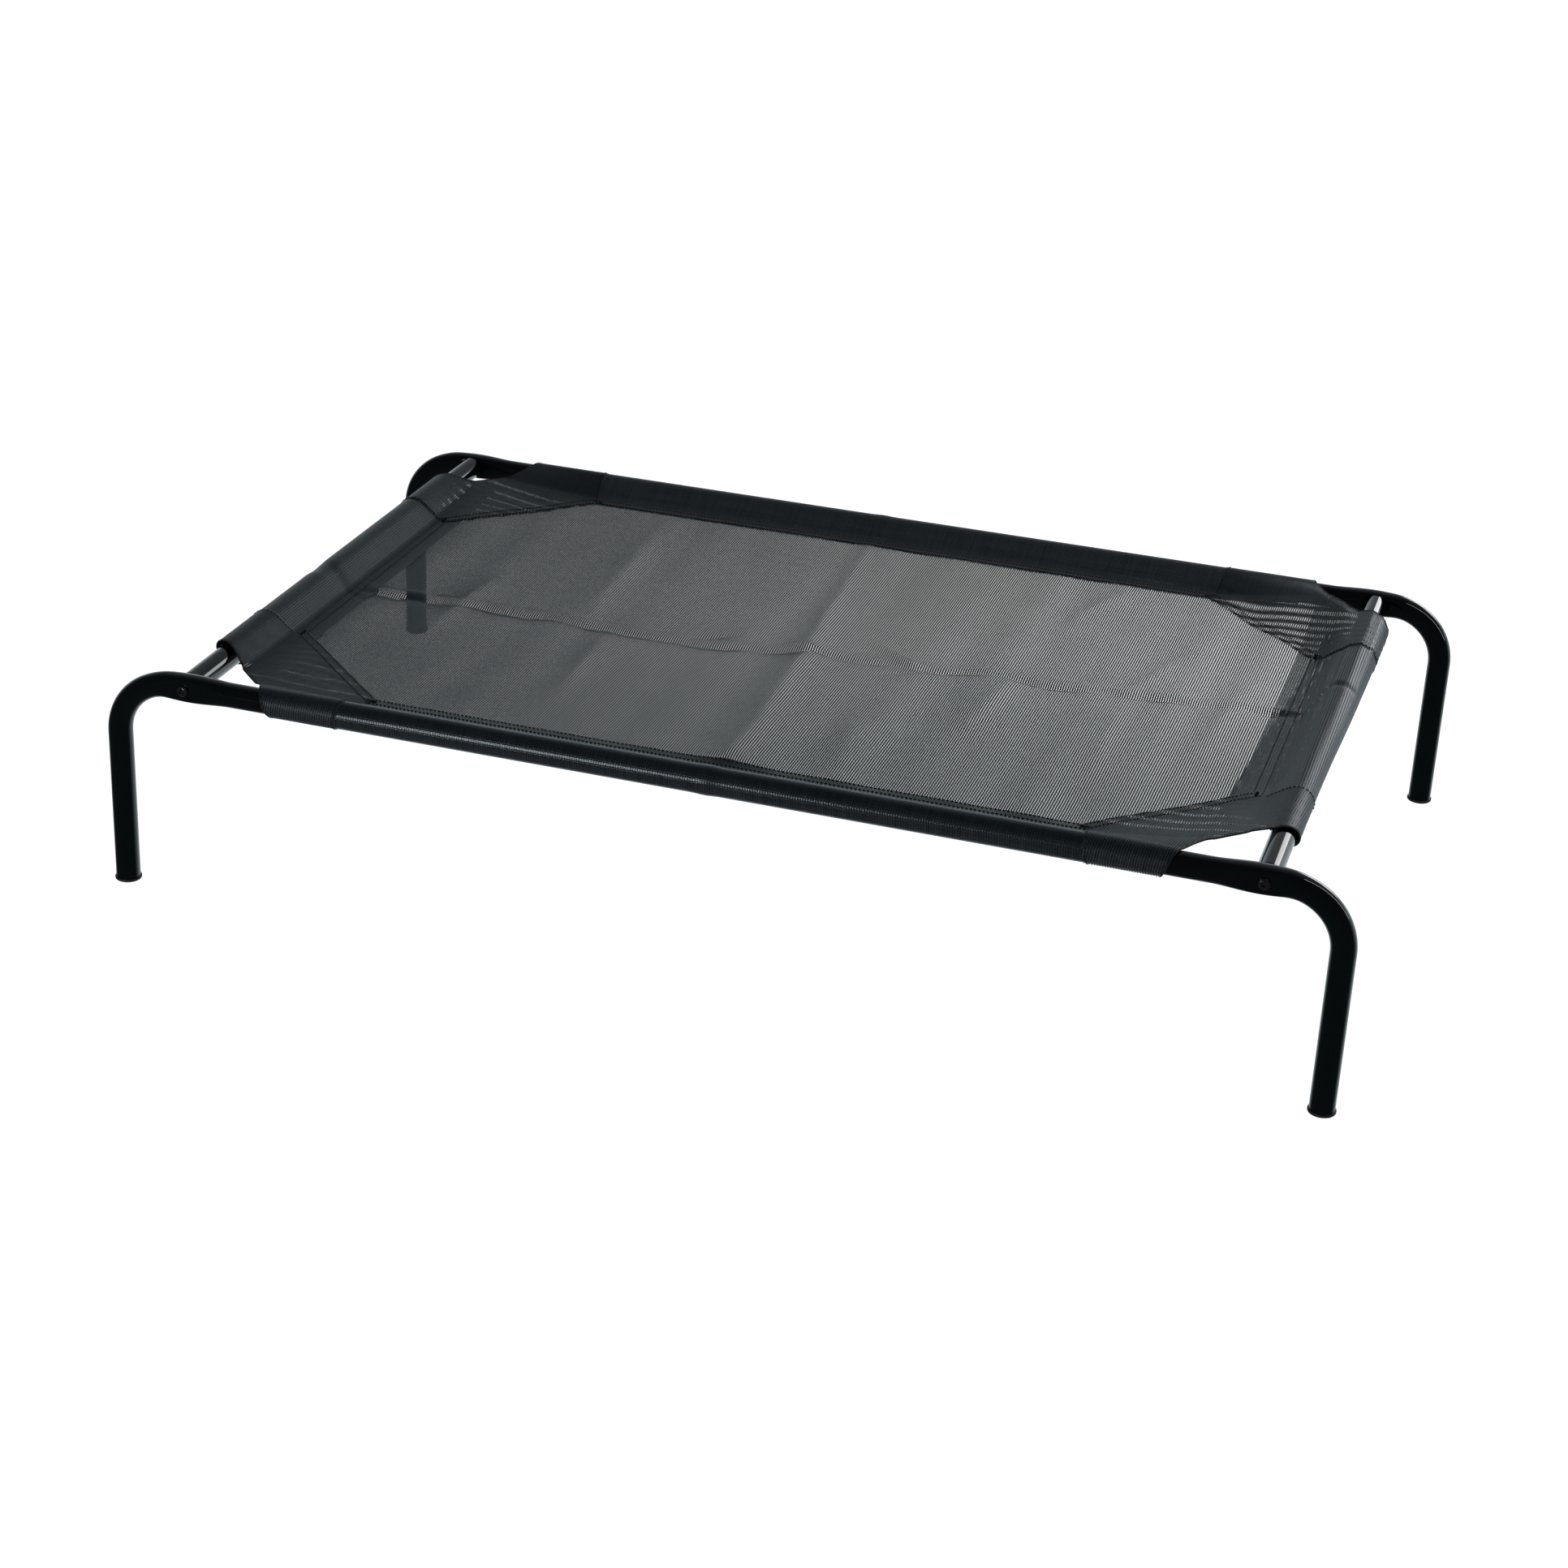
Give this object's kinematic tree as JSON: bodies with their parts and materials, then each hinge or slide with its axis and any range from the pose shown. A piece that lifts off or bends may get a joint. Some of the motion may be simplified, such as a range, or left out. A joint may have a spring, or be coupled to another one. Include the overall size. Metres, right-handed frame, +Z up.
{
  "type": "raised mesh pet bed",
  "caption": "Raised pet bed: a tight mesh sling sewn round a low frame of bent black steel tube, standing on capped tube legs.",
  "frame": {"origin": "on the floor, under the middle of the bed", "axes": "+X along the rails, +Y from the front rail to the rear rail, +Z up"},
  "size_m": [1.114, 0.6646, 0.215],
  "materials": {
    "frame_paint": "gloss black powder coat",
    "bolt_black": "black oxide, satin",
    "insert_nylon": "matt black nylon",
    "foot_plastic": "matt black plastic",
    "mesh_single": "coated open mesh, one layer, charcoal",
    "mesh_sleeve": "coated open mesh over the tube, charcoal",
    "mesh_double": "coated open mesh, two layers, charcoal"
  },
  "bodies": {
    "root": {"front_rail": "frame_paint", "rear_rail": "frame_paint", "left_cross_bar": "frame_paint", "right_cross_bar": "frame_paint", "bolt_front_left": "bolt_black", "bolt_front_right": "bolt_black", "bolt_rear_left": "bolt_black", "bolt_rear_right": "bolt_black", "insert_front_left": "insert_nylon", "insert_front_right": "insert_nylon", "insert_rear_left": "insert_nylon", "insert_rear_right": "insert_nylon", "foot_cap_front_left": "foot_plastic", "foot_cap_front_right": "foot_plastic", "foot_cap_rear_left": "foot_plastic", "foot_cap_rear_right": "foot_plastic", "sling_panel": "mesh_single", "front_sleeve": "mesh_sleeve", "rear_sleeve": "mesh_sleeve", "left_sleeve": "mesh_sleeve", "right_sleeve": "mesh_sleeve", "corner_patch_front_left": "mesh_double", "corner_patch_front_right": "mesh_double", "corner_patch_rear_left": "mesh_double", "corner_patch_rear_right": "mesh_double"}
  },
  "joints": []
}
